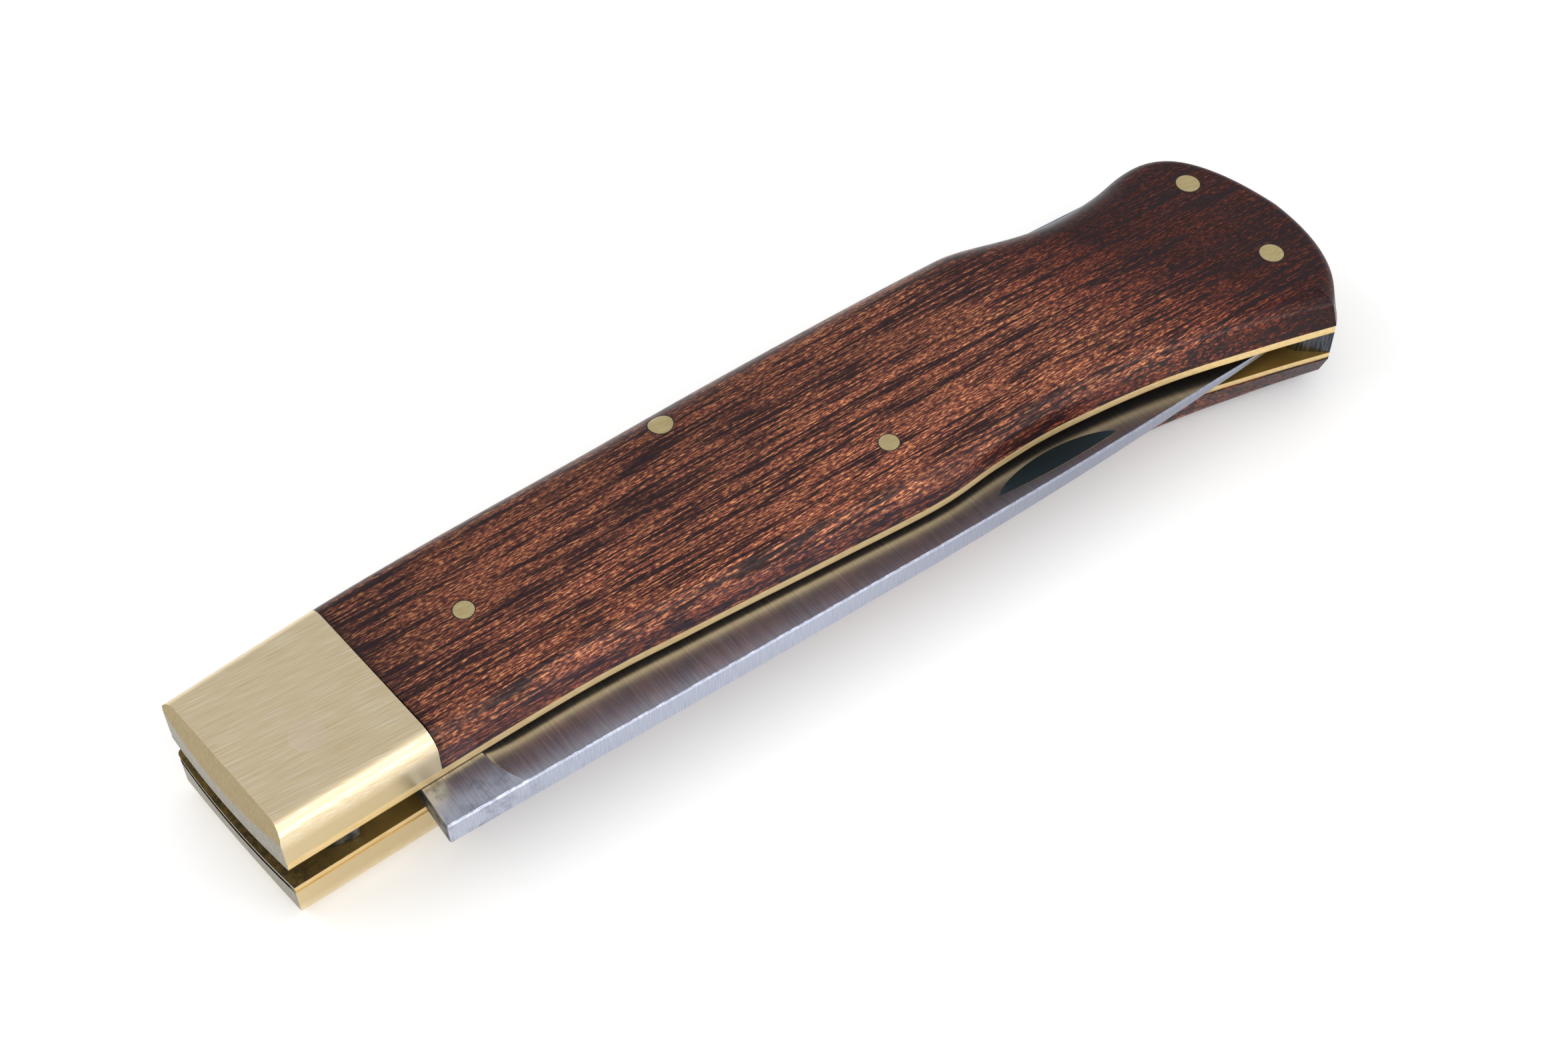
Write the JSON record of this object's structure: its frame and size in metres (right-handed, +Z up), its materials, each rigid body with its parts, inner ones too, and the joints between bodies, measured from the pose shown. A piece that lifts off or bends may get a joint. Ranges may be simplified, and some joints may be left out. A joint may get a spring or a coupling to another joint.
{
  "type": "folding pocket knife",
  "caption": "Lock-back folding pocket knife, closed, with bevelled brass bolsters, sculpted dark hardwood scales, brass liners and a thumb scoop over the lock bar",
  "frame": {"origin": "centre of the footprint on the flat of the lower scale", "axes": "+X along the knife from the pivot end to the butt, +Y across from the opening side to the back edge, +Z up through the thickness"},
  "size_m": [0.127, 0.0298, 0.0152],
  "materials": {
    "brass": "satin, brushed along the length",
    "pin_brass": "dressed flush",
    "hardwood": "oiled dense hardwood, satin gloss",
    "blade_steel": "fine cross grind",
    "ground_steel": "ground",
    "spring_steel": "as rolled"
  },
  "bodies": {
    "handle": {"upper_scale": "hardwood", "lower_scale": "hardwood", "upper_bolster": "brass", "lower_bolster": "brass", "upper_liner": "brass", "lower_liner": "brass", "pivot_pin": "pin_brass", "lock_bar_pin": "pin_brass", "butt_pin_rear": "pin_brass", "butt_pin_front": "pin_brass", "upper_front_rivet": "pin_brass", "upper_middle_rivet": "pin_brass", "lower_front_rivet": "pin_brass", "lower_middle_rivet": "pin_brass", "upper_bolster_rivet_back": "pin_brass", "upper_bolster_rivet_opening": "pin_brass", "lower_bolster_rivet_back": "pin_brass", "lower_bolster_rivet_opening": "pin_brass", "butt_spacer": "ground_steel", "lock_spring": "spring_steel"},
    "blade": {"blade": "blade_steel"},
    "lock_bar": {"lock_bar": "ground_steel"}
  },
  "joints": [
    {"name": "blade_pivot", "type": "hinge", "parent": "handle", "child": "blade", "pos_m": [-0.05415, -0.00161, 0.0076], "axis": [0, 0, -1], "range_deg": [0, 180]},
    {"name": "lock_bar_rock", "type": "hinge", "parent": "handle", "child": "lock_bar", "pos_m": [-0.00821, 0.01074, 0.0076], "axis": [0, 0, -1], "range_deg": [-0.97, 0.4], "stiffness_Nm_per_rad": 2}
  ]
}
